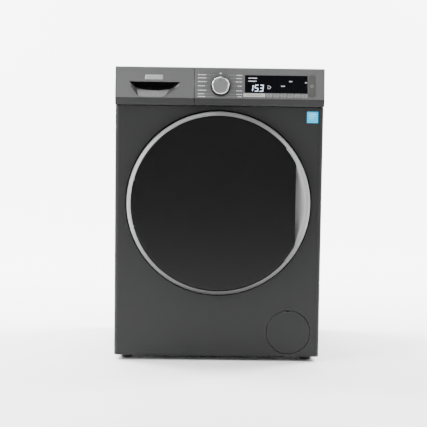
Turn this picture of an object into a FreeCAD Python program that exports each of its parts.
import FreeCAD, Part
import Sketcher
import math
import os

# Front load washing machine.
# Row frame: origin on the floor under the middle of the machine, +Z up, +X to the
# right as seen by someone facing the door, the door on the -Y side. Millimetres.

V3 = FreeCAD.Vector
doc = FreeCAD.newDocument("front_load_washer")
sheet = doc.addObject("Spreadsheet::Sheet", "Params")


class Dim:
    """A number that knows the spreadsheet expression it comes from."""

    def __init__(self, value, text, bound=True):
        self.v, self.t, self.bound = float(value), text, bound

    def _mix(self, other, sign, value):
        other = dim(other)
        return Dim(value(self.v, other.v), "(%s %s %s)" % (self.t, sign, other.t),
                   self.bound or other.bound)

    def __add__(self, o):
        return self._mix(o, "+", lambda a, b: a + b)

    def __sub__(self, o):
        return self._mix(o, "-", lambda a, b: a - b)

    def __mul__(self, o):
        return self._mix(o, "*", lambda a, b: a * b)

    def __truediv__(self, o):
        return self._mix(o, "/", lambda a, b: a / b)

    def __radd__(self, o):
        return dim(o) + self

    def __rsub__(self, o):
        return dim(o) - self

    def __rmul__(self, o):
        return dim(o) * self

    def __neg__(self):
        return Dim(-self.v, "(0 - %s)" % self.t, self.bound)


def dim(x):
    if isinstance(x, Dim):
        return x
    return Dim(x, "(%.6f)" % x if x < 0 else "%.6f" % x, False)


def cosd(a):
    a = dim(a)
    return Dim(math.cos(math.radians(a.v)), "cos(%s * 1 deg)" % a.t, a.bound)


def sind(a):
    a = dim(a)
    return Dim(math.sin(math.radians(a.v)), "sin(%s * 1 deg)" % a.t, a.bound)


rows = [0]


def par(name, value, note=""):
    rows[0] += 1
    r = rows[0]
    sheet.set("A%d" % r, name)
    sheet.set("B%d" % r, str(value))
    if note:
        sheet.set("C%d" % r, note)
    sheet.setAlias("B%d" % r, name)
    return Dim(value, "Params." + name)


# ---------------------------------------------------------------- driving dimensions
half_w = par("half_width", 297.5, "half the cabinet width")
high = par("machine_height", 845, "floor to worktop")
y_fr = par("front_face_y", -255, "face of the front panel")
y_bk = par("rear_face_y", 265, "outside of the rear wall")
y_wrap = par("wrap_front_y", -238, "front edge of the folded cabinet")
sheet_t = par("sheet_thick", 1.0, "cabinet steel")
z_bot = par("cabinet_bottom", 15, "bottom of the steel above the floor")
z_wrap = par("wrap_top", 827, "top of the folded cabinet")
axis_z = par("drum_axis_height", 458, "height of the drum axis")
# control panel
fac_y = par("facet_foot_y", -267.5, "front-most line of the control panel")
fac_z = par("facet_foot_z", 757, "height of that line")
fac_h = par("facet_height", 87.3, "slant height of the upper facet")
tilt = par("facet_tilt", 7.5, "lean of the upper facet")
pan_bot = par("panel_bottom", 737, "bottom of the control panel")
pan_back = par("panel_back_y", -238.5, "back of the control panel mouldings")
pan_wall = par("panel_wall", 3, "moulding wall")
split_x = par("drawer_split_x", -72.6, "joint between drawer front and fascia")
split_gap = par("drawer_split_gap", 1.2, "width of that joint")
dial_x = par("dial_centre_x", 1.5, "")
dial_v = par("dial_centre_v", 34, "up the facet")
dial_r = par("dial_face_radius", 24.5, "")
dial_skirt = par("dial_skirt_radius", 28.5, "")
dial_high = par("dial_height", 21, "")
dis_a = par("display_left", 70.5, "")
dis_b = par("display_right", 248.5, "")
dis_lo = par("display_low_v", 17.4, "")
dis_hi = par("display_high_v", 68, "")
key_lo = par("key_low_v", 5.8, "")
key_hi = par("key_high_v", 15.8, "")
key_clear = par("key_clearance", 0.4, "")
key_proud = par("key_proud", 1.3, "")
key_depth = par("key_depth", 12, "length of a key behind its face")
pow_a = par("power_left", 251.8, "")
pow_b = par("power_right", 270.6, "")
pow_lo = par("power_low_v", 5.8, "")
pow_hi = par("power_high_v", 71, "")
# door
ring_r = par("door_ring_radius", 262, "outside of the door ring")
ring_face_r = par("door_ring_face_radius", 250.4, "inner edge of the ring bevel")
ring_y = par("door_ring_front_y", -283, "front of the door ring")
ring_back = par("door_ring_back_y", -249, "back of the door ring")
gap_r = par("door_recess_radius", 265.8, "mouth of the recess in the front panel")
rec_floor = par("recess_floor_y", -232, "face of the recess floor")
rec_floor_r = par("recess_floor_radius", 262.5, "")
open_r = par("loading_opening_radius", 166, "steel edge round the loading opening")
cov_r = par("cover_radius", 248.6, "dark door cover")
chord = par("grip_chord_x", 219, "straight edge of the cover at the grip")
hin_x = par("hinge_axis_x", -236, "")
hin_y = par("hinge_axis_y", -265, "")
pin_r = par("hinge_pin_radius", 3.5, "")
bowl_r = par("bowl_mouth_radius", 147, "")
# drum and tub
drum_r = par("drum_radius", 240, "inside of the drum")
drum_t = par("drum_sheet", 1.0, "")
drum_a = par("drum_front_y", -166, "")
drum_b = par("drum_rear_y", 134, "")
mouth_r = par("drum_mouth_radius", 168, "")
tub_r = par("tub_radius", 258, "inside of the tub")
tub_t = par("tub_wall", 4, "")
tub_a = par("tub_front_y", -186, "")
tub_s = par("tub_split_y", -62, "")
tub_b = par("tub_rear_y", 158, "inside of the tub's rear wall")
shaft_r = par("drum_shaft_radius", 15, "")
pul_r = par("drum_pulley_radius", 150, "")
mpul_r = par("motor_pulley_radius", 12, "")
belt_y = par("belt_middle_y", 222, "")
belt_w = par("belt_width", 14, "")
mot_x = par("motor_axis_x", -45, "")
mot_z = par("motor_axis_z", 106, "")
# filter
fil_x = par("filter_axis_x", 207.5, "")
fil_z = par("filter_axis_z", 86, "")
fcov_r = par("filter_cover_radius", 63, "")
fhole_r = par("filter_hole_radius", 64.2, "")
# feet
foot_x = par("foot_centre_x", 262, "")
foot_ya = par("front_foot_y", -208, "")
foot_yb = par("rear_foot_y", 222, "")
foot_r = par("foot_pad_radius", 19, "")
stem_r = par("foot_stem_radius", 5, "")
damp_x = par("damper_x", 192, "")
damp_y = par("damper_y", 24, "")
spr_x = par("spring_x", 226, "")
spr_y = par("spring_y", 32, "")
doc.recompute()

PARTS = {}
counter = [0]


def label(kind):
    counter[0] += 1
    return "%s_%03d" % (kind, counter[0])


def bind(obj, prop, d):
    d = dim(d)
    if d.bound:
        obj.setExpression(prop, d.t)
    return d.v


def place(obj, pos, axis=(0, 0, 1), angle=0.0):
    p = [dim(c) for c in pos]
    a = dim(angle)
    obj.Placement = FreeCAD.Placement(V3(*[c.v for c in p]), FreeCAD.Rotation(V3(*axis), a.v))
    for c, n in zip(p, "xyz"):
        if c.bound:
            obj.setExpression(".Placement.Base." + n, c.t)
    if a.bound:
        obj.setExpression(".Placement.Rotation.Angle", a.t)
    return obj


def box(x0, x1, y0, y1, z0, z1, name="box"):
    o = doc.addObject("Part::Box", label(name))
    x0, x1, y0, y1, z0, z1 = [dim(c) for c in (x0, x1, y0, y1, z0, z1)]
    o.Length = bind(o, "Length", x1 - x0)
    o.Width = bind(o, "Width", y1 - y0)
    o.Height = bind(o, "Height", z1 - z0)
    return place(o, (x0, y0, z0))


TURN = {"z": ((0, 0, 1), 0.0), "y": ((1, 0, 0), -90.0), "x": ((0, 1, 0), 90.0)}


def cyl(axis, pos, r, length, name="cyl"):
    """A cylinder that starts at pos and runs length along +axis."""
    o = doc.addObject("Part::Cylinder", label(name))
    o.Radius = bind(o, "Radius", r)
    o.Height = bind(o, "Height", length)
    return place(o, pos, *TURN[axis])


def cone(axis, pos, r1, r2, length, name="cone"):
    o = doc.addObject("Part::Cone", label(name))
    o.Radius1 = bind(o, "Radius1", r1)
    o.Radius2 = bind(o, "Radius2", r2)
    o.Height = bind(o, "Height", length)
    return place(o, pos, *TURN[axis])


def torus(axis, pos, r1, r2, name="torus"):
    o = doc.addObject("Part::Torus", label(name))
    o.Radius1 = bind(o, "Radius1", r1)
    o.Radius2 = bind(o, "Radius2", r2)
    return place(o, pos, *TURN[axis])


def fuse(*items, **kw):
    items = [i for i in items if i is not None]
    if len(items) == 1:
        return items[0]
    o = doc.addObject("Part::MultiFuse", label(kw.get("name", "fuse")))
    o.Shapes = list(items)
    o.Refine = True
    return o


def cut(base, *tools, **kw):
    tool = fuse(*tools)
    o = doc.addObject("Part::Cut", label(kw.get("name", "cut")))
    o.Base, o.Tool = base, tool
    return o


def common(a, b, **kw):
    o = doc.addObject("Part::MultiCommon", label(kw.get("name", "common")))
    o.Shapes = [a, b]
    return o


def piece(name, obj):
    """obj is the finished sub-part of that name."""
    obj.Label = name
    PARTS[name] = obj
    return obj


# ---------------------------------------------------------------- sketches
def rrect(x0, y0, x1, y1, r):
    """A rounded rectangle as a path."""
    x0, y0, x1, y1, r = [dim(c) for c in (x0, y0, x1, y1, r)]
    return [((x0 + r, y0), None), ((x1 - r, y0), r), ((x1, y0 + r), None), ((x1, y1 - r), r),
            ((x1 - r, y1), None), ((x0 + r, y1), r), ((x0, y1 - r), None), ((x0, y0 + r), r)]


def poly(*pts):
    return [(p, None) for p in pts]


def circle(cx, cy, r):
    return ("circle", cx, cy, r)


def add_loop(sk, loop):
    if isinstance(loop, tuple) and loop[0] == "circle":
        cx, cy, r = [dim(c) for c in loop[1:]]
        g = sk.addGeometry(Part.Circle(V3(cx.v, cy.v, 0), V3(0, 0, 1), r.v), False)
        for kind, d in (("DistanceX", cx), ("DistanceY", cy)):
            n = sk.addConstraint(Sketcher.Constraint(kind, -1, 1, g, 3, d.v))
            if d.bound:
                sk.setExpression("Constraints[%d]" % n, d.t)
        n = sk.addConstraint(Sketcher.Constraint("Radius", g, r.v))
        if r.bound:
            sk.setExpression("Constraints[%d]" % n, r.t)
        return
    pts = [(dim(p[0]), dim(p[1])) for p, _ in loop]
    arcs = [a for _, a in loop]
    n = len(pts)
    area = sum(pts[i][0].v * pts[(i + 1) % n][1].v - pts[(i + 1) % n][0].v * pts[i][1].v
               for i in range(n))
    ids = []
    for i in range(n):
        a, b = pts[i], pts[(i + 1) % n]
        A, B = V3(a[0].v, a[1].v, 0), V3(b[0].v, b[1].v, 0)
        if arcs[i] is None:
            ids.append((sk.addGeometry(Part.LineSegment(A, B), False), 1, 2))
            continue
        rad = dim(arcs[i])
        r = abs(rad.v)
        side = (1 if area > 0 else -1) * (1 if rad.v > 0 else -1)
        # the arc from this point to the next bulges outwards for a positive radius
        chord_v = B - A
        half = chord_v.Length / 2
        nrm = V3(chord_v.y, -chord_v.x, 0)
        nrm.normalize()
        rise = math.sqrt(max(r * r - half * half, 0))
        centre = (A + B) / 2 - nrm * rise * side
        mid = centre + nrm * r * side
        ccw = (mid - A).cross(B - A).z > 0
        g = sk.addGeometry(Part.Arc(A, mid, B) if ccw else Part.Arc(B, mid, A), False)
        ids.append((g, 1, 2) if ccw else (g, 2, 1))
        k = sk.addConstraint(Sketcher.Constraint("Radius", g, r))
        if rad.bound and rad.v > 0:
            sk.setExpression("Constraints[%d]" % k, rad.t)
    for i in range(n):
        g, s, e = ids[i]
        g2, s2, e2 = ids[(i + 1) % n]
        sk.addConstraint(Sketcher.Constraint("Coincident", g, e, g2, s2))
    for i in range(n):
        g, s, e = ids[i]
        for kind, d in (("DistanceX", pts[i][0]), ("DistanceY", pts[i][1])):
            k = sk.addConstraint(Sketcher.Constraint(kind, -1, 1, g, s, d.v))
            if d.bound:
                sk.setExpression("Constraints[%d]" % k, d.t)


def new_body(name):
    return doc.addObject("PartDesign::Body", label(name))


def new_sketch(body, plane, loops, offset=(0, 0, 0)):
    sk = body.newObject("Sketcher::SketchObject", label("sketch"))
    host = [f for f in body.Origin.OriginFeatures if f.Role == plane + "_Plane"][0]
    sk.AttachmentSupport = [(host, "")]
    sk.MapMode = "FlatFace"
    off = [dim(c) for c in offset]
    sk.AttachmentOffset = FreeCAD.Placement(V3(*[c.v for c in off]), FreeCAD.Rotation())
    for c, n in zip(off, "xyz"):
        if c.bound:
            sk.setExpression(".AttachmentOffset.Base." + n, c.t)
    for loop in loops:
        add_loop(sk, loop)
    return sk


def prism(plane, loops, a, b, body=None, name="prism", taper=None):
    """Pads the loops from a to b along the third axis. XY runs in Z, XZ in Y, YZ in X."""
    body = body or new_body(name)
    a, b = dim(a), dim(b)
    off = (0, 0, -b) if plane == "XZ" else (0, 0, a)
    sk = new_sketch(body, plane, loops, off)
    f = body.newObject("PartDesign::Pad", label("pad"))
    f.Profile = sk
    f.Length = bind(f, "Length", b - a)
    if taper is not None:
        f.TaperAngle = taper
    sk.Visibility = False
    return body


def revolve_y(cx, cz, loop, body=None, name="turned"):
    """Turns a profile of (y, radius) points about the line parallel to Y through (cx, cz)."""
    body = body or new_body(name)
    sk = new_sketch(body, "YZ", [loop], (0, cz, cx))
    f = body.newObject("PartDesign::Revolution", label("revolution"))
    f.Profile = sk
    f.ReferenceAxis = (sk, ["H_Axis"])
    f.Angle = 360
    return body


def revolve_z(cx, cy, loop, body=None, name="turned"):
    """Turns a profile of (radius, z) points about the vertical line through (cx, cy)."""
    body = body or new_body(name)
    sk = new_sketch(body, "XZ", [loop], (cx, 0, -dim(cy)))
    f = body.newObject("PartDesign::Revolution", label("revolution"))
    f.Profile = sk
    f.ReferenceAxis = (sk, ["V_Axis"])
    f.Angle = 360
    return body


def on_facet(obj):
    """Stands a piece, drawn with +Z as its outward normal and +Y up the slope, on the panel's upper facet."""
    return place(obj, (0, fac_y, fac_z), (1, 0, 0), 90 - tilt)


def round_edges(body, radius, test, chamfer=False):
    """Fillets the edges of a body's tip that pass test(edge)."""
    doc.recompute()
    tip = body.Tip
    names = ["Edge%d" % (i + 1) for i, e in enumerate(tip.Shape.Edges) if test(e)]
    if not names:
        raise ValueError("no edge to round on " + body.Name)
    f = body.newObject("PartDesign::Chamfer" if chamfer else "PartDesign::Fillet", label("round"))
    f.Base = (tip, names)
    if chamfer:
        f.Size = bind(f, "Size", radius)
    else:
        f.Radius = bind(f, "Radius", radius)
    body.Tip = f
    return body


def fillet_part(obj, radius, test):
    doc.recompute()
    o = doc.addObject("Part::Fillet", label("fillet"))
    o.Base = obj
    o.Edges = [(i + 1, radius, radius) for i, e in enumerate(obj.Shape.Edges) if test(e)]
    if not o.Edges:
        raise ValueError("no edge to round")
    return o


def is_line_along(e, axis, tol=1e-4):
    if e.Curve.TypeId != "Part::GeomLine":
        return False
    d = e.Vertexes[-1].Point - e.Vertexes[0].Point
    if d.Length < 1e-6:
        return False
    d.normalize()
    return abs(abs(d["xyz".index(axis)]) - 1) < tol


def mid(e):
    return e.valueAt((e.FirstParameter + e.LastParameter) / 2)


def polar(axis_pos, item, count, axis="y", first=0.0):
    """Copies of item turned about the line parallel to an axis through axis_pos."""
    out = []
    d = {"y": V3(0, 1, 0), "z": V3(0, 0, 1), "x": V3(1, 0, 0)}[axis]
    for k in range(count):
        ang = first + 360.0 * k / count
        o = doc.addObject("Part::Feature", label("copy"))
        s = item.copy()
        s.rotate(V3(*axis_pos), d, ang)
        o.Shape = s
        out.append(o)
    return out


def tube_path(points):
    """Straight runs joined by tangent arcs, each as large as its two runs allow."""
    pts = [V3(*p) for p in points]
    edges, start, radii = [], pts[0], []
    for i in range(1, len(pts) - 1):
        a, b, c = pts[i - 1], pts[i], pts[i + 1]
        u, w = (a - b), (c - b)
        la, lc = u.Length, w.Length
        u.normalize()
        w.normalize()
        turn = math.pi - u.getAngle(w)
        r = 0.45 * min(la, lc) / math.tan(turn / 2)
        back = r * math.tan(turn / 2)
        p1, p2 = b + u * back, b + w * back
        bis = (u + w)
        bis.normalize()
        centre = b + bis * math.hypot(r, back)
        m = centre + (b - centre).normalize() * r
        edges.append(Part.LineSegment(start, p1).toShape())
        edges.append(Part.Arc(p1, m, p2).toShape())
        radii.append(round(r, 1))
        start = p2
    edges.append(Part.LineSegment(start, pts[-1]).toShape())
    return Part.Wire(edges), radii


def hose(points, r, bore=None):
    wire, radii = tube_path(points)
    d = (V3(*points[1]) - V3(*points[0])).normalize()

    def sweep(rad):
        ring = Part.Wire([Part.Circle(V3(*points[0]), d, rad).toShape()])
        return wire.makePipeShell([ring], True, True)

    s = sweep(r)
    want = math.pi * r * r * wire.Length
    if abs(s.Volume / want - 1) > 0.03:
        raise ValueError("a hose came out with the wrong volume")
    print("hose radii", radii, "length", round(wire.Length, 1))
    if bore:
        s = s.cut(sweep(bore))
    return s


def raw(shape, name="raw"):
    o = doc.addObject("Part::Feature", label(name))
    o.Shape = shape
    return o


front_z = lambda dz: axis_z + dz

# ---------------------------------------------------------------- cabinet
bend = par("cabinet_bend", 9, "outside bend of the rear corners")
fbend = par("front_bend", 12, "outside bend of the front panel")
stub_y = par("rear_stub_y", 286.9, "end of the inlet threads")
cold_x = par("cold_inlet_x", -182, "")
hot_x = par("hot_inlet_x", -132, "")
inlet_z = par("inlet_height", 792, "")
drain_x = par("drain_outlet_x", 262, "")
drain_z = par("drain_outlet_z", 690, "")
gland_x = par("gland_x", 232, "")
gland_z = par("gland_z", 150, "")

o, i = half_w, half_w - sheet_t
wrap = prism("XY", [[
    ((-o, y_wrap), None), ((-i + 14, y_wrap), None), ((-i + 14, y_wrap + sheet_t), None),
    ((-i, y_wrap + sheet_t), None), ((-i, y_bk - bend), -8), ((-o + bend, y_bk - sheet_t), None),
    ((o - bend, y_bk - sheet_t), -8), ((i, y_bk - bend), None),
    ((i, y_wrap + sheet_t), None), ((i - 14, y_wrap + sheet_t), None), ((i - 14, y_wrap), None),
    ((o, y_wrap), None), ((o, y_bk - bend), bend), ((o - bend, y_bk), None),
    ((-o + bend, y_bk), bend), ((-o, y_bk - bend), None)]], z_bot, z_wrap, name="wrap")
rear_hole = prism("XZ", [rrect(-195, 168, 195, 628, 24)], y_bk - 4, y_bk + 4, name="rear_hole")
holes = [cyl("y", (x, y_bk - 5, z), r, 10) for x, z, r in (
    (cold_x, inlet_z, 15), (hot_x, inlet_z, 15), (drain_x, drain_z, 14.5), (gland_x, gland_z, 9))]
piece("cabinet_shell", cut(wrap, rear_hole, *holes))

cover = prism("XZ", [rrect(-212, 150, 212, 646, 20)], y_bk, y_bk + 0.9, name="cover")
rim = prism("XZ", [rrect(-186, 176, 186, 620, 26)], y_bk + 0.5, y_bk + 11, name="rise")
void = prism("XZ", [rrect(-185, 177, 185, 619, 25)], y_bk - 1, y_bk + 10, name="void")
slots = [box(-60 + 24 * k, -46 + 24 * k, y_bk + 5, y_bk + 15, 560, 566) for k in range(6)]
piece("rear_service_cover", cut(fuse(cover, rim), void, *slots))

piece("worktop", round_edges(round_edges(
    prism("XY", [rrect(-half_w, pan_back + 0.5, half_w, y_bk + 2, 4)], z_wrap + 0.5, high, name="worktop"),
    1.5, lambda e: abs(mid(e).z - 845) < 0.01), 1.0, lambda e: abs(mid(e).z - 827.5) < 0.01))

# front panel: a folded skin with the round door recess pressed into it
fo = half_w
skin = prism("XY", [[
    ((-fo, pan_back), None), ((-fo, y_fr + fbend), fbend), ((-fo + fbend, y_fr), None),
    ((fo - fbend, y_fr), fbend), ((fo, y_fr + fbend), None), ((fo, pan_back), None),
    ((fo - sheet_t, pan_back), None), ((fo - sheet_t, y_fr + fbend), -11),
    ((fo - fbend, y_fr + sheet_t), None), ((-fo + fbend, y_fr + sheet_t), -11),
    ((-fo + sheet_t, y_fr + fbend), None), ((-fo + sheet_t, pan_back), None)]],
    z_bot, pan_bot - 2, name="skin")
foot_flange = box(-half_w + 14, half_w - 14, y_fr + 0.5, pan_back, z_bot, z_bot + 1)
mouth = cyl("y", (0, y_fr - 3, axis_z), 269, 6)
pan = revolve_y(0, axis_z, [
    ((y_fr, 269.3), None), ((y_fr, 268.3), 2.5), ((y_fr + 2.5, gap_r), None), ((rec_floor, rec_floor_r), None),
    ((rec_floor, open_r + 1), None), ((rec_floor - 8, open_r + 1), None), ((rec_floor - 8, open_r), None),
    ((rec_floor + 1, open_r), None), ((rec_floor + 1, rec_floor_r + 1), None),
    ((y_fr + 2.5, gap_r + 1), -1.5), ((y_fr + 1, 268.3), None), ((y_fr + 1, 269.3), None)], name="pan")
fil_hole = cyl("y", (fil_x, y_fr - 3, fil_z), fhole_r, 8)
hook_slot = box(194, 218, rec_floor - 3, rec_floor + 3, axis_z - 12, axis_z + 12)
piece("front_panel", cut(fuse(cut(fuse(skin, foot_flange), mouth), pan), fil_hole, hook_slot))

tray = prism("XY", [rrect(-half_w + 1.8, -228, half_w - 1.8, y_bk - 2, 8)], 16, 46, name="tray")
tray_void = prism("XY", [rrect(-half_w + 4.3, -225.5, half_w - 4.3, y_bk - 4.5, 6)], 18.5, 60, name="tray_void")
ribs = [box(-290, 290, y, y + 2.5, 17, 32) for y in (-120, 150)]
feet_at = [(-foot_x, foot_ya), (foot_x, foot_ya), (-foot_x, foot_yb), (foot_x, foot_yb)]
bosses = [cyl("z", (x, y, 16), 14, 30) for x, y in feet_at]
bores = [cyl("z", (x, y, 10), stem_r + 0.05, 50) for x, y in feet_at]
pads = [box(s * damp_x - 24, s * damp_x + 24, damp_y - 24, damp_y + 24, 17, 30) for s in (-1, 1)]
piece("base_tray", cut(fuse(cut(tray, tray_void), *(bosses + ribs + pads)), *bores))

piece("front_cross_brace", prism("YZ", [poly((-234, 727), (-206, 727), (-206, 745), (-207.2, 745), (-207.2, 728.2),
      (-232.8, 728.2), (-232.8, 745), (-234, 745))], -half_w + 1.2, half_w - 1.2, name="brace"))
beam = prism("YZ", [poly((10, 808), (54, 808), (54, 826), (52.8, 826), (52.8, 809.2),
             (11.2, 809.2), (11.2, 826), (10, 826))], -half_w + 1.2, half_w - 1.2, name="beam")
piece("spring_beam", cut(beam, *[cyl("z", (s * spr_x, spr_y, 800), 4, 20) for s in (-1, 1)]))

# ---------------------------------------------------------------- control panel
f_top_y = fac_y + sind(tilt) * fac_h
f_top_z = fac_z + cosd(tilt) * fac_h
low_y = par("panel_foot_y", -262, "bottom edge of the turned-in lower facet")


def panel_section(t):
    """Outline of the panel mouldings, or the same outline t inside the skin."""
    return poly((low_y + t, pan_bot + t), (fac_y + t, fac_z), (f_top_y + t, f_top_z - 0.4 - t),
                (f_top_y + 2.6 + t, high - t), (pan_back, high - t), (pan_back, pan_bot + t))


def moulding(x0, x1, t0, t1):
    solid = prism("YZ", [panel_section(0)], x0, x1, name="moulding")
    solid = round_edges(solid, 1.4, lambda e: is_line_along(e, "x") and mid(e).y < -255)
    solid = round_edges(solid, 1.1, lambda e: (abs(mid(e).x - dim(x0).v) < 0.01 or abs(mid(e).x - dim(x1).v) < 0.01)
                        and mid(e).y < -239.5 and not is_line_along(e, "x"))
    inner = prism("YZ", [poly((low_y + 3, pan_bot + 3), (fac_y + 3, fac_z), (f_top_y + 3, f_top_z - 4),
                              (f_top_y + 5, high - 3), (pan_back + 5, high - 3), (pan_back + 5, pan_bot + 3))],
                  x0 + t0, x1 - t1, name="inside")
    return solid, inner


fx0 = split_x + split_gap / 2
solid, inner = moulding(fx0, half_w, 2.5, 3)
keys = []
x_key = par("start_key_left", 66.5, "")
keys.append(("start_key", x_key, x_key + 62))
pitch = par("small_key_pitch", 20, "")
small_w = par("small_key_width", 17, "")
for k in range(6):
    x0 = x_key + 65.2 + pitch * k
    keys.append(("option_key_%d" % (k + 1), x0, x0 + small_w))
cuts = []
for name, x0, x1 in keys:
    cuts.append(on_facet(prism("XY", [rrect(x0 - key_clear, key_lo - key_clear, x1 + key_clear, key_hi + key_clear, 1.8)],
                               -12, 5, name="key_hole")))
cuts.append(on_facet(prism("XY", [rrect(pow_a - key_clear, pow_lo - key_clear, pow_b + key_clear, pow_hi + key_clear, 9.4)],
                           -12, 5, name="power_hole")))
cuts.append(on_facet(prism("XY", [rrect(dis_a, dis_lo, dis_b, dis_hi, 2)], -12, 5, name="display_hole")))
cuts.append(on_facet(cyl("z", (0, 0, 0), 3.05, 20)))
place_hole = cuts[-1]
n_in = -10
px = dial_x
place(place_hole, (px, fac_y + sind(tilt) * dial_v - cosd(tilt) * n_in, fac_z + cosd(tilt) * dial_v + sind(tilt) * n_in),
      (1, 0, 0), 90 - tilt)
back_open = box(fx0 + 8, half_w - 8, pan_back - 4, pan_back + 5, pan_bot + 8, high - 8)
piece("control_fascia", cut(solid, inner, back_open, *cuts))

piece("display_window", on_facet(prism("XY", [rrect(dis_a + 0.15, dis_lo + 0.15, dis_b - 0.15, dis_hi - 0.15, 1.9)],
                                       -3, 0.25, name="window")))
board = prism("XY", [rrect(-22, 4, 276, 74, 2)], -14, -12.4, name="board")
chips = [prism("XY", [rrect(30 + 40 * k, 48, 48 + 40 * k, 62, 1)], -18, -13, name="chip") for k in range(3)]
lcd = prism("XY", [rrect(dis_a + 3, dis_lo + 3, dis_b - 3, dis_hi - 3, 1)], -12.5, -3.4, name="lcd")
piece("control_board", on_facet(fuse(board, lcd, *chips)))

for name, x0, x1 in keys:
    b = prism("XY", [rrect(x0, key_lo, x1, key_hi, 1.5)], -key_depth + key_proud, key_proud, name=name)
    round_edges(b, 0.6, lambda e: abs(mid(e).z - 1.3) < 1e-3)
    piece(name, on_facet(b))
b = prism("XY", [rrect(pow_a, pow_lo, pow_b, pow_hi, 9)], -key_depth + key_proud, key_proud, name="power_key")
round_edges(b, 0.7, lambda e: abs(mid(e).z - 1.3) < 1e-3)
piece("power_key", on_facet(b))

dial = revolve_z(dial_x, 0, [
    ((0, -9.5), None), ((3, -9.5), None), ((3, 0.6), None), ((dial_skirt, 0.6), None), ((dial_skirt, 2.6), 1.6),
    ((dial_skirt - 1.6, 4.2), None), ((dial_r + 1.2, 4.6), None), ((dial_r, dial_high - 2.4), 2.4),
    ((dial_r - 2.4, dial_high), None), ((0, dial_high), None)], name="dial")
# the profile is turned about the shaft, then the shaft is stood on the facet
dmark = box(dial_x - 0.8, dial_x + 0.8, 12, 21, dial_high - 0.5, dial_high + 1)
dial_cut = cut(dial, dmark)
place(dial_cut, (0, fac_y + sind(tilt) * dial_v, fac_z + cosd(tilt) * dial_v), (1, 0, 0), 90 - tilt)
piece("program_dial", dial_cut)

# drawer front: the left part of the panel, with the finger scoop
dx1 = split_x - split_gap / 2
solid, inner = moulding(-half_w, dx1, 3, 2.5)
sc_a = par("scoop_left", -257.5, "")
sc_b = par("scoop_right", -113.5, "")
sc_top = par("scoop_top_v", 45.5, "")
sc_deep = par("scoop_depth", 19, "")
liner = on_facet(box(sc_a - 3, sc_b + 3, 0.5, sc_top + 7, -sc_deep - 2.6, -0.5))
outline = prism("XY", [poly((sc_a, sc_top), (sc_a + 5, sc_top - 16), (sc_a + 22, 7), (sc_a + 36, 1.5),
                        (sc_b - 52, 1.5), (sc_b - 38, 7), (sc_b - 5, sc_top - 16), (sc_b, sc_top))],
                -40, 4, name="scoop_outline")
ramp = prism("YZ", [poly((1.5, 0.6), (sc_top - 8, -sc_deep), (sc_top + 4, -sc_deep), (sc_top + 4, -6), (sc_top, -2.2), (sc_top, 6), (1.5, 6))],
             sc_a - 1, sc_b + 1, name="ramp")
scoop = on_facet(common(outline, ramp))
under = on_facet(box(sc_a + 8, sc_b - 8, sc_top - 12, sc_top + 4, -sc_deep, -2.4))
body_cut = cut(solid, inner)
clip_liner = common(liner, prism("YZ", [panel_section(0.4)], -half_w, dx1, name="clip"))
back_open = box(-half_w + 8, dx1 - 8, pan_back - 4, pan_back + 5, 826, high - 8)
piece("drawer_front", cut(fuse(body_cut, clip_liner), scoop, under))

t0, t1 = par("drawer_left", -281, ""), par("drawer_right", -92, "")
ty0, ty1 = pan_back, par("drawer_end_y", -34, "")
tz0, tz1 = par("drawer_floor", 757, ""), par("drawer_top", 812, "")
tray = round_edges(box_body := prism("XY", [rrect(t0, ty0, t1, ty1, 1.5)], tz0, tz1, name="drawer"), 1.2,
                   lambda e: abs(mid(e).z - 757) < 0.01)
cells = [prism("XY", [rrect(a, ty0 + 2, b, ty1 - 2, 7)], tz0 + 2, tz1 + 5, name="cell") for a, b in
         ((t0 + 2, t0 + 72), (t0 + 74, t0 + 128), (t0 + 130, t1 - 2))]
piece("drawer_tray", cut(tray, *cells))

hx0, hx1 = t0 - 3, t1 + 3
hous = prism("XY", [rrect(hx0, -234, hx1, ty1 + 6, 3)], tz0 - 3, z_wrap - 1.5, name="housing")
hcut = box(t0 - 0.8, t1 + 0.8, -240, ty1 + 3.5, tz0 - 0.8, tz1 + 3)
duct = box(t0 + 4, t1 - 4, -215, ty1, tz1 + 6, z_wrap - 3.5)
out = cyl("z", (-150, -70, 737), 16, 18)
outb = cyl("z", (-150, -70, 730), 13, 28)
piece("dispenser_housing", cut(fuse(cut(hous, hcut, duct), out), outb))

# ---------------------------------------------------------------- door
hz = axis_z
ring = revolve_y(0, hz, [
    ((ring_y, ring_face_r), None), ((ring_y + 0.8, ring_face_r + 0.6), 30), ((ring_y + 12, ring_r), None),
    ((ring_back - 1, ring_r), None), ((ring_back, ring_r - 1), None), ((ring_back, ring_r - 3), None),
    ((ring_y + 13.3, ring_r - 3), None), ((ring_y + 4.4, ring_face_r), None)], name="ring")
grip = revolve_y(0, hz, poly(
    (ring_y + 3.4, ring_face_r + 1.4), (ring_y + 12.5, ring_face_r - 7), (ring_y + 18, 233), (ring_y + 20, 222), (ring_y + 21, 185), (ring_y + 23.5, 185),
    (ring_y + 22.6, 223), (ring_y + 20.4, 234.6), (ring_y + 15, ring_face_r - 4.6), (ring_y + 7.2, ring_face_r + 3.4)), name="grip")
grip = common(grip, box(182, 270, ring_y - 5, ring_back, hz - 190, hz + 190))
notches = [box(-270, -240, ring_back - 7, ring_back + 5, hz + s * 50 - 8.5, hz + s * 50 + 8.5) for s in (-1, 1)]
piece("door_ring", cut(fuse(ring, grip), *notches))

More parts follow.
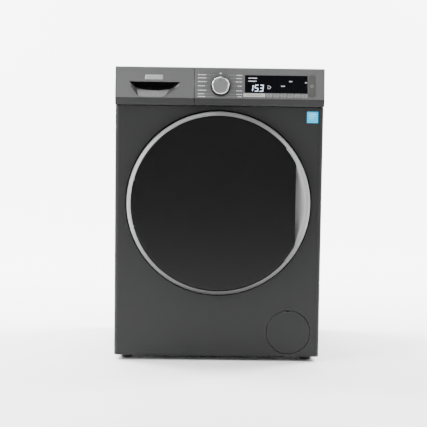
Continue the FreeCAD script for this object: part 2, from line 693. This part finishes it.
dome = par("cover_dome", 2.8, "rise of the cover's middle")
cf = ring_y + 0.6
disc = revolve_y(0, hz, [
    ((cf - dome, 0), 9000), ((cf, cov_r - 2.2), 2.2), ((cf + 2.2, cov_r), None), ((cf + 4, cov_r), None), ((cf + 4, cov_r - 3), None),
    ((cf + 3.4 - dome / 2, 0), None)], name="disc")
rho = 24.0
cz = math.sqrt((248.6 - rho) ** 2 - (219 - rho) ** 2)
tx, tz = (219 - rho) * 248.6 / (248.6 - rho), cz * 248.6 / (248.6 - rho)
outline = prism("XZ", [[((chord, hz - cz), None), ((chord, hz + cz), rho), ((tx, hz + tz), cov_r), ((0, hz + cov_r), cov_r),
                        ((-cov_r, hz), cov_r), ((0, hz - cov_r), cov_r), ((tx, hz - tz), rho)]], -300, -270, name="cover_outline")
piece("door_cover", common(disc, outline))

bowl = revolve_y(0, hz, [
    ((-255, bowl_r - 8), None), ((-255, bowl_r + 9), None), ((-250.4, bowl_r + 9), None), ((-250.4, bowl_r + 1), -2), ((-248.4, bowl_r - 1), None),
    ((-196, 132), 18), ((-182, 118), None), ((-178, 0), None), ((-183, 0), None), ((-187, 115), -13), ((-197, 126), None),
    ((-249, bowl_r - 7), None)], name="bowl")
piece("door_bowl", bowl)

frame = revolve_y(0, hz, poly(
    (-252, ring_r - 6), (-249, ring_r - 3.6), (-247.4, ring_r - 3.6), (-246, ring_r - 5), (-245.2, 232), (-245.6, 196),
    (-246.6, 180), (-247, bowl_r + 1.2), (-250.2, bowl_r + 1.2), (-250.2, 170), (-252, 180)), name="frame")
pockets = [box(-262, -199.5, -256, -240, hz + s * 50 - 8, hz + s * 50 + 8) for s in (-1, 1)]
hook_hole = box(196, 216, -256, -240, hz - 11, hz + 11)
ears = [box(199, 211, -259, -250.6, hz + a, hz + a + 4) for a in (11.4, -15.4)]
ear_bore = cyl("z", (205, -254.6, hz - 20), 2.05, 40)
gw = 3.5
piece("door_inner_frame", cut(fuse(cut(frame, hook_hole, *pockets), *ears), ear_bore))

hk = fuse(cyl("z", (205, -254.6, hz - 15), 2, 30), cyl("z", (205, -254.6, hz - 11), gw, 22),
          box(202.4, 207.6, -254.6, -222, hz - 8, hz + 8), box(207, 213, -227.5, -222, hz - 8, hz + 8))
piece("door_latch_hook", hk)

pin = cyl("z", (hin_x, hin_y, hz - 70), pin_r, 140)
leafs = [box(hin_x - 6, -205, hin_y - 3.4, -252, hz - 38, hz + 38)] + \
        [box(hin_x - 6, -222, hin_y - 3.4, -252, hz + a, hz + a + 10) for a in (59.5, -69.5)]
piece("door_hinge_leaf", fuse(pin, *leafs))

plate = box(-222, -198, rec_floor - 3, rec_floor, hz - 72, hz + 72)
arms = []
for s in (-1, 1):
    z0 = hz + 50 * s - 6
    arms += [box(hin_x, -202, hin_y - 6, hin_y + 6, z0, z0 + 12), box(-216, -202, hin_y - 6, rec_floor - 2, z0, z0 + 12),
             cyl("z", (hin_x, hin_y, z0), 6.4, 12)]
piece("door_hinge_bracket", cut(fuse(plate, *arms), cyl("z", (hin_x, hin_y, hz - 80), pin_r + 0.05, 160)))

lock = box(186, 234, rec_floor + 1.1, -206, hz - 36, hz + 36)
piece("door_lock", cut(lock, box(193, 219, rec_floor, -213, hz - 14, hz + 14)))

gasket = revolve_y(0, hz, poly(
    (-243.6, 149.8), (-244, 160), (-244, 171), (-232.6, 171), (-232.6, 167.4), (-240.3, 167.4), (-240.3, 165.6),
    (-230.6, 165.6), (-230.6, 169), (-226, 177), (-214, 177), (-208, 166), (-196, 166), (-196, 160.3),
    (-207, 160.3), (-210, 162), (-216, 173.5), (-224, 173.5), (-229, 162), (-238, 159), (-241.5, 149.8)), name="gasket")
piece("door_gasket", gasket)

# ---------------------------------------------------------------- pump and filter
cup = revolve_y(fil_x, fil_z, [
    ((y_fr + 1.1, 66.5), None), ((y_fr + 1.1, 68), None), ((-231, 68), None), ((-231, 33.6), None), ((-233, 33.6), None),
    ((-233, 66.5), None)], name="cup")
piece("filter_recess", cup)

fdisc = revolve_y(fil_x, fil_z, [
    ((y_fr, 0), None), ((y_fr, fcov_r - 0.8), 0.8), ((y_fr + 0.8, fcov_r), None), ((y_fr + 2.2, fcov_r), None), ((y_fr + 2.2, 0), None)],
    name="filter_disc")
clips = [box(fil_x - 8, fil_x + 8, y_fr + 1.5, y_fr + 9, fil_z + 54, fil_z + 56),
         box(fil_x - 8, fil_x + 8, y_fr + 1.5, y_fr + 9, fil_z - 56, fil_z - 54),
         box(fil_x - 56, fil_x - 54, y_fr + 1.5, y_fr + 9, fil_z - 8, fil_z + 8),
         box(fil_x + 54, fil_x + 56, y_fr + 1.5, y_fr + 9, fil_z - 8, fil_z + 8)]
coin = box(fil_x - 6, fil_x + 6, y_fr - 1, y_fr + 4, fil_z + fcov_r - 2.6, fil_z + fcov_r + 3)
piece("filter_cover", cut(fuse(fdisc, *clips), coin))

filt = revolve_y(fil_x, fil_z, [
    ((-240, 0), None), ((-240, 27.5), 1.5), ((-238.5, 29), None), ((-236, 31), None), ((-234, 31), None), ((-234, 28.95), None),
    ((-222, 28.95), None), ((-220, 24), None), ((-165, 24), None), ((-165, 22), None), ((-222, 22), None), ((-222, 0), None)],
    name="filter_plug")
wing = box(fil_x - 3.5, fil_x + 3.5, -248, -239, fil_z - 25, fil_z + 25)
fcuts = [box(fil_x - 40, fil_x + 40, -212 + 12 * k, -206 + 12 * k, fil_z - 5, fil_z + 5) for k in range(4)]
piece("pump_filter", cut(fuse(filt, wing), *fcuts))

neck = revolve_y(fil_x, fil_z, [
    ((-233.4, 29), None), ((-233.4, 33), None), ((-150, 33), None), ((-146, 42), None), ((-118, 42), None), ((-116, 30), None),
    ((-58, 30), None), ((-54, 26), None), ((-54, 0), None), ((-122, 0), None), ((-122, 29), None)], name="pump")
outlet = cyl("x", (fil_x + 30, -134, fil_z), 13, 22)
outlet_b = cyl("x", (fil_x + 20, -134, fil_z), 9, 40)
inlet = cyl("z", (fil_x, -185, fil_z + 30), 20, 26)
inlet_b = cyl("z", (fil_x, -185, fil_z + 10), 16.5, 60)
stand = [box(fil_x - 20, fil_x + 20, y, y + 6, 18.6, fil_z - 29.5) for y in (-205, -100)]
piece("drain_pump", cut(fuse(neck, outlet, inlet, *stand), outlet_b, inlet_b))

piece("drain_hose_inner", raw(hose([(259.8, -134, 86), (281, -134, 86), (281, -90, 86), (274, 20, 76), (274, 246, 76),
                                    (262, 246, 690), (262, 285, 690)], 11.4, 8.4)))

# ---------------------------------------------------------------- water inlets
vb = fuse(box(cold_x - 17, hot_x + 17, 226, 258, inlet_z - 17, inlet_z + 17),
          *[cyl("y", (x, 250, inlet_z), 13.2, stub_y - 250) for x in (cold_x, hot_x)]
          + [cyl("y", (x, y_bk - 6.8, inlet_z), 19, 5.6) for x in (cold_x, hot_x)]
          + [cyl("y", (x, 214, inlet_z), 7, 14) for x in (cold_x, hot_x)])
piece("inlet_valves", cut(vb, *[cyl("y", (x, 262, inlet_z), 9.5, 40) for x in (cold_x, hot_x)]))

hoses = []
for x in (-182, -132):
    hoses.append(raw(hose([(x, 213.6, 792), (x, -27.8, 792)], 9.4, 7.05)))
hose_node = doc.addObject("Part::Compound", label("hoses"))
hose_node.Links = hoses
piece("fill_hoses", hose_node)

piece("mains_gland", cut(fuse(cyl("y", (gland_x, y_bk - 8, gland_z), 8.8, 14), cyl("y", (gland_x, y_bk, gland_z), 13, 3),
                              cone("y", (gland_x, y_bk + 5, gland_z), 8.8, 6.5, 12)),
                         cyl("y", (gland_x, y_bk - 12, gland_z), 4, 40)))

spots = [(s * 203, z) for s in (-1, 1) for z in (160, 398, 636)] + [(x, 636) for x in (-70, 70)] + [(x, 160) for x in (-70, 70)]
screws = []
for x, z in spots:
    s = fuse(cyl("y", (x, y_bk + 0.9, z), 4.5, 2.4), cyl("y", (x, y_bk - 8, z), 1.9, 10))
    screws.append(s)
sc = doc.addObject("Part::Compound", label("screws"))
sc.Links = screws
piece("cabinet_screws", sc)
screw_holes = [cyl("y", (x, y_bk - 9, z), 1.95, 12) for x, z in spots]
base_shell = PARTS["cabinet_shell"]
base_shell.Label = "wrap_with_openings"
piece("cabinet_shell", cut(base_shell, *screw_holes[0:]))
base_cov = PARTS["rear_service_cover"]
base_cov.Label = "cover_blank"
piece("rear_service_cover", cut(base_cov, *[cyl("y", (x, y_bk - 2, z), 1.95, 6) for x, z in spots]))

# ---------------------------------------------------------------- tub
tf = revolve_y(0, hz, poly((-206, 156), (-206, 160), (-190, 160), (-190, tub_r + tub_t), (-72, tub_r + tub_t), (-72, 270), (tub_s, 270),
                           (tub_s, tub_r), (tub_a, tub_r), (tub_a, 156)), name="tub_front")
piece("tub_front", tf)
tr = revolve_y(0, hz, poly((tub_s + 0.2, tub_r), (tub_s + 0.2, 270), (-52, 270), (-52, tub_r + tub_t), (tub_b + 4, tub_r + tub_t),
                           (tub_b + 4, 44), (206, 44), (206, 31), (150, 31), (150, 44), (tub_b, 52), (tub_b, tub_r)), name="tub_rear")
lugs = [box(s * spr_x - 12, s * spr_x + 12, spr_y - 9, spr_y + 9, 570, 606) for s in (-1, 1)]
dlugs = [box(s * damp_x - 12, s * damp_x + 12, damp_y - 12, damp_y + 12, 252, 290) for s in (-1, 1)]
clear = cyl("y", (0, tub_s + 0.5, hz), tub_r + 2, 214)
tub_ribs = []
for k in range(8):
    b = box(-3, 3, tub_b + 3.5, 190, 48, 235)
    place(b, (0, tub_b + 3.5, hz), (0, 1, 0), 45 * k + 22.5)
    tub_ribs.append(b)
    b.Length, b.Width, b.Height = 5, 22, 225
ribs_clip = cut(fuse(*tub_ribs), cyl("y", (0, 150, hz), 40, 60), cyl("y", (-45, 150, 106), 62, 60))
sump = box(-70, 70, -30, 120, 186, 210)
heat_holes = [cyl("y", (s * 25, tub_b - 4, 209), 4.4, 12) for s in (-1, 1)]
loop_hole = [cyl("z", (s * spr_x, spr_y, 560), 3, 60) for s in (-1, 1)]
piece("tub_rear", cut(fuse(tr, ribs_clip, *(lugs + dlugs)), clear, *(heat_holes + loop_hole)))

# ---------------------------------------------------------------- masses, motor and drum
cw = revolve_y(0, hz, poly((-214, 186), (-214, 250), (-190.4, 250), (-190.4, 186)), name="front_weight")
piece("counterweight_front", cut(cw, box(-280, 280, -230, -180, hz - 280, hz + 62)))

cwt = box(-64, 190, -46, 128, 640, 782)
cwt = cut(cwt, cyl("y", (0, -60, hz), tub_r + tub_t + 0.4, 220))
piece("counterweight_top", cwt)

mb = fuse(cyl("y", (mot_x, 70, mot_z), 50, 118), cyl("y", (mot_x, 62, mot_z), 30, 10), cyl("y", (mot_x, 186, mot_z), 42, 10),
          box(mot_x - 30, mot_x + 30, 90, 112, mot_z + 30, 215), box(mot_x - 30, mot_x + 30, 146, 156, mot_z + 30, 215))
mb = cut(mb, cyl("y", (0, 40, hz), tub_r + tub_t + 0.3, 160), cyl("y", (mot_x, 180, mot_z), 6.05, 30))
piece("motor", mb)

hp = [(-25, 172, 209), (-25, -20, 209), (25, -20, 209), (25, 172, 209)]
heat = raw(hose(hp, 4.0))
hplate = box(-40, 40, tub_b + 4, tub_b + 7, 200, 218)
piece("heater", fuse(heat, hplate))

bearings = doc.addObject("Part::Compound", label("bearings"))
bearings.Links = [cut(cyl("y", (0, y, hz), 30.97, 16), cyl("y", (0, y - 1, hz), shaft_r + 0.05, 18),
                      cut(cyl("y", (0, y - 1, hz), 25.5, 2.5), cyl("y", (0, y - 2, hz), 20.5, 5))) for y in (152, 187)]
piece("drum_bearings", bearings)

shell = revolve_y(0, hz, [((drum_a - 3, mouth_r + 3), 3), ((drum_a, mouth_r), None), ((drum_a + 3, mouth_r), None),
                          ((drum_a + 3, mouth_r + 1), None), ((drum_a, mouth_r + 1), None), ((drum_a - 2, mouth_r + 3), None),
                          ((drum_a, 210), None), ((drum_a, drum_r), None), ((drum_b, drum_r), None), ((drum_b, 0), None),
                          ((drum_b + drum_t, 0), None), ((drum_b + drum_t, drum_r + drum_t), None), ((drum_a - drum_t, drum_r + drum_t), None),
                          ((drum_a - drum_t, 210), None)], name="drum_shell")
rows_y = [-140, -95, -50, -5, 40, 85, 120]
pins = []
for n, y in enumerate(rows_y):
    for k in range(24):
        if k % 8 == 0:
            continue
        a = math.radians(90 + 15 * k)
        pins.append(Part.makeCylinder(3, 8, V3(math.cos(a) * 236, y, axis_z.v + math.sin(a) * 236), V3(math.cos(a), 0, math.sin(a))))
holes_c = raw(Part.makeCompound(pins), "perforation")
piece("drum", cut(shell, holes_c))

pads3 = []
for k in range(3):
    w = prism("XZ", [[((-30, 238), None), ((-12, 190), 14), ((12, 190), None), ((30, 238), None)]], -130, 110, name="paddle")
    v = prism("XZ", [[((-26, 240), None), ((-9.6, 193), 11.5), ((9.6, 193), None), ((26, 240), None)]], -127, 107, name="paddle_void")
    p = cut(w, v)
    place(p, (0, 0, hz), (0, 1, 0), 120 * k)
    pads3.append(p)
pc = doc.addObject("Part::Compound", label("paddles"))
pc.Links = pads3
piece("drum_paddles", common(pc, cyl("y", (0, -150, hz), drum_r - 0.2, 280)))

arms3 = []
for k in range(3):
    a = prism("XZ", [poly((-17, 0), (-11, 230), (11, 230), (17, 0))], drum_b + drum_t, drum_b + drum_t + 11, name="arm")
    place(a, (0, 0, hz), (0, 1, 0), 120 * k + 60)
    arms3.append(a)
piece("drum_spider", fuse(cyl("y", (0, drum_b + drum_t, hz), 29, 13), cyl("y", (0, drum_b + drum_t, hz), shaft_r, 97), *arms3))

b0 = belt_y - belt_w / 2 - 1
pl = revolve_y(0, hz, poly((b0, shaft_r + 0.03), (b0, 26), (b0 + 5, 30), (b0 + 5, 138), (b0, 140), (b0, pul_r + 1.6), (b0 + 1, pul_r + 1.6), (b0 + 1, pul_r - 0.2),
                           (b0 + 15, pul_r - 0.2), (b0 + 15, pul_r + 1.6), (b0 + 16, pul_r + 1.6), (b0 + 16, 140), (b0 + 9, 138), (b0 + 9, 30),
                           (b0 + 16, 26), (b0 + 16, shaft_r + 0.03)), name="pulley")
wins = []
for k in range(6):
    w = prism("XZ", [[((-26, 56), None), ((26, 56), None), ((48, 120), None), ((-48, 120), None)]], belt_y - 20, belt_y + 20, name="window")
    place(w, (0, 0, hz), (0, 1, 0), 60 * k)
    wins.append(w)
piece("drum_pulley", cut(pl, *wins))

mp = revolve_y(mot_x, mot_z, poly((188, 0), (188, 6), (b0, 6), (b0, mpul_r + 1), (b0 + 1, mpul_r + 1), (b0 + 1, mpul_r - 0.2), (b0 + 15, mpul_r - 0.2), (b0 + 15, mpul_r + 1),
                                  (b0 + 16, mpul_r + 1), (b0 + 16, 0)), name="motor_pulley")
piece("motor_pulley", mp)


def belt_loop(extra):
    c1, c2 = (0.0, axis_z.v), (mot_x.v, mot_z.v)
    r1, r2 = pul_r.v + extra, mpul_r.v + extra
    dx, dz = c1[0] - c2[0], c1[1] - c2[1]
    dist = math.hypot(dx, dz)
    base = math.atan2(dz, dx)
    off = math.acos((r1 - r2) / dist)
    pt = lambda c, r, a: (c[0] + r * math.cos(a), c[1] + r * math.sin(a))
    a1, a2 = base + math.pi - off, base + math.pi + off
    # a1 and a2 are where the belt leaves the large pulley; the small one shares the directions
    loop = [(pt(c1, r1, a2), r1)]
    steps = 4
    span = 2 * math.pi - (a2 - a1)
    for s in range(1, steps):
        loop.append((pt(c1, r1, a2 + span * s / steps), r1))
    loop.append((pt(c1, r1, a1), None))
    loop.append((pt(c2, r2, a1), r2))
    loop.append((pt(c2, r2, (a1 + a2) / 2), r2))
    loop.append((pt(c2, r2, a2), None))
    return loop


bo = prism("XZ", [belt_loop(2.4)], belt_y - belt_w / 2 + 0.4, belt_y + belt_w / 2 - 0.4, name="belt_out")
bi = prism("XZ", [belt_loop(0.3)], belt_y - belt_w, belt_y + belt_w, name="belt_in")
piece("drive_belt", cut(bo, bi))

# ---------------------------------------------------------------- suspension
springs = doc.addObject("Part::Compound", label("springs"))
coils = []
for s in (-1, 1):
    cx, cy = s * spr_x.v, spr_y.v
    helix = Part.makeHelix(13, 169, 10.5)
    helix.translate(V3(cx, cy, 614))
    w = Part.Wire(helix.Edges)
    prof = Part.Wire([Part.Circle(V3(cx + 10.5, cy, 614), V3(0, 1, 0.18), 1.7).toShape()])
    sol = w.makePipeShell([prof], True, True)
    ends = []
    e1 = Part.makeCylinder(1.7, 36, V3(cx, cy, 580), V3(0, 0, 1))
    e2 = Part.makeCylinder(1.7, 40, V3(cx, cy, 781), V3(0, 0, 1))
    l1 = Part.makeCylinder(1.7, 11, V3(cx, cy, 614.3), V3(1, 0, 0))
    end = helix.Edges[-1].valueAt(helix.Edges[-1].LastParameter)
    d = end - V3(cx, cy, end.z)
    l2 = Part.makeCylinder(1.7, 11, V3(cx, cy, end.z), d)
    ball = [Part.makeSphere(1.7, V3(cx, cy, z)) for z in (614.3, end.z)]
    e2 = Part.makeCylinder(1.7, 821 - end.z, V3(cx, cy, end.z), V3(0, 0, 1))
    stop = Part.makeCylinder(5.6, 2, V3(cx, cy, 809.4), V3(0, 0, 1))
    low = Part.makeCylinder(4.6, 2, V3(cx, cy, 567.6), V3(0, 0, 1))
    e1 = Part.makeCylinder(1.7, 614.3 - 568, V3(cx, cy, 568), V3(0, 0, 1))
    coils.append(raw(sol.fuse([e1, e2, l1, l2, stop, low] + ball), "spring"))
springs.Links = coils
piece("suspension_springs", springs)

dc = doc.addObject("Part::Compound", label("damper_cylinders"))
dc.Links = [cut(fuse(cyl("z", (s * damp_x, damp_y, 30), 15, 150), cyl("z", (s * damp_x, damp_y, 30), 20, 8)),
                cyl("z", (s * damp_x, damp_y, 44), 7.05, 150)) for s in (-1, 1)]
piece("damper_cylinders", dc)
dr = doc.addObject("Part::Compound", label("damper_rods"))
dr.Links = [fuse(cyl("z", (s * damp_x, damp_y, 64), 7, 188), cyl("z", (s * damp_x, damp_y, 240), 11, 12)) for s in (-1, 1)]
piece("damper_rods", dr)

for name, (x, y) in zip(("foot_front_left", "foot_front_right", "foot_rear_left", "foot_rear_right"), feet_at):
    f = revolve_z(x, y, [((0, 0), None), ((foot_r - 5, 0), None), ((foot_r - 4, 1), None), ((foot_r - 1, 9), 1.5),
                         ((foot_r - 2.5, 10.5), None), ((9, 11), None), ((9, 15.6), None), ((stem_r, 15.6), None), ((stem_r, 50), None), ((0, 50), None)],
                  name=name)
    piece(name, f)

# ---------------------------------------------------------------- checks and files
doc.recompute()
bad = []
for obj in doc.Objects:
    if any(word in obj.State for word in ("Invalid", "Error")):
        bad.append("%s (%s): %s" % (obj.Label, obj.TypeId, obj.State))
os.makedirs("parts", exist_ok=True)
total = Part.makeCompound([])
for name, obj in PARTS.items():
    s = obj.Shape
    if s.isNull() or not s.isValid() or s.Volume <= 0:
        bad.append("%s: shape not valid" % name)
        continue
    print("%-22s solids %d volume %9.1f  x %.1f..%.1f y %.1f..%.1f z %.1f..%.1f" % (
        name, len(s.Solids), s.Volume / 1000, s.BoundBox.XMin, s.BoundBox.XMax, s.BoundBox.YMin, s.BoundBox.YMax,
        s.BoundBox.ZMin, s.BoundBox.ZMax))
if bad:
    raise RuntimeError("; ".join(bad))
for name, obj in PARTS.items():
    Part.export([obj], "parts/%s.step" % name)
print(len(PARTS), "pieces")
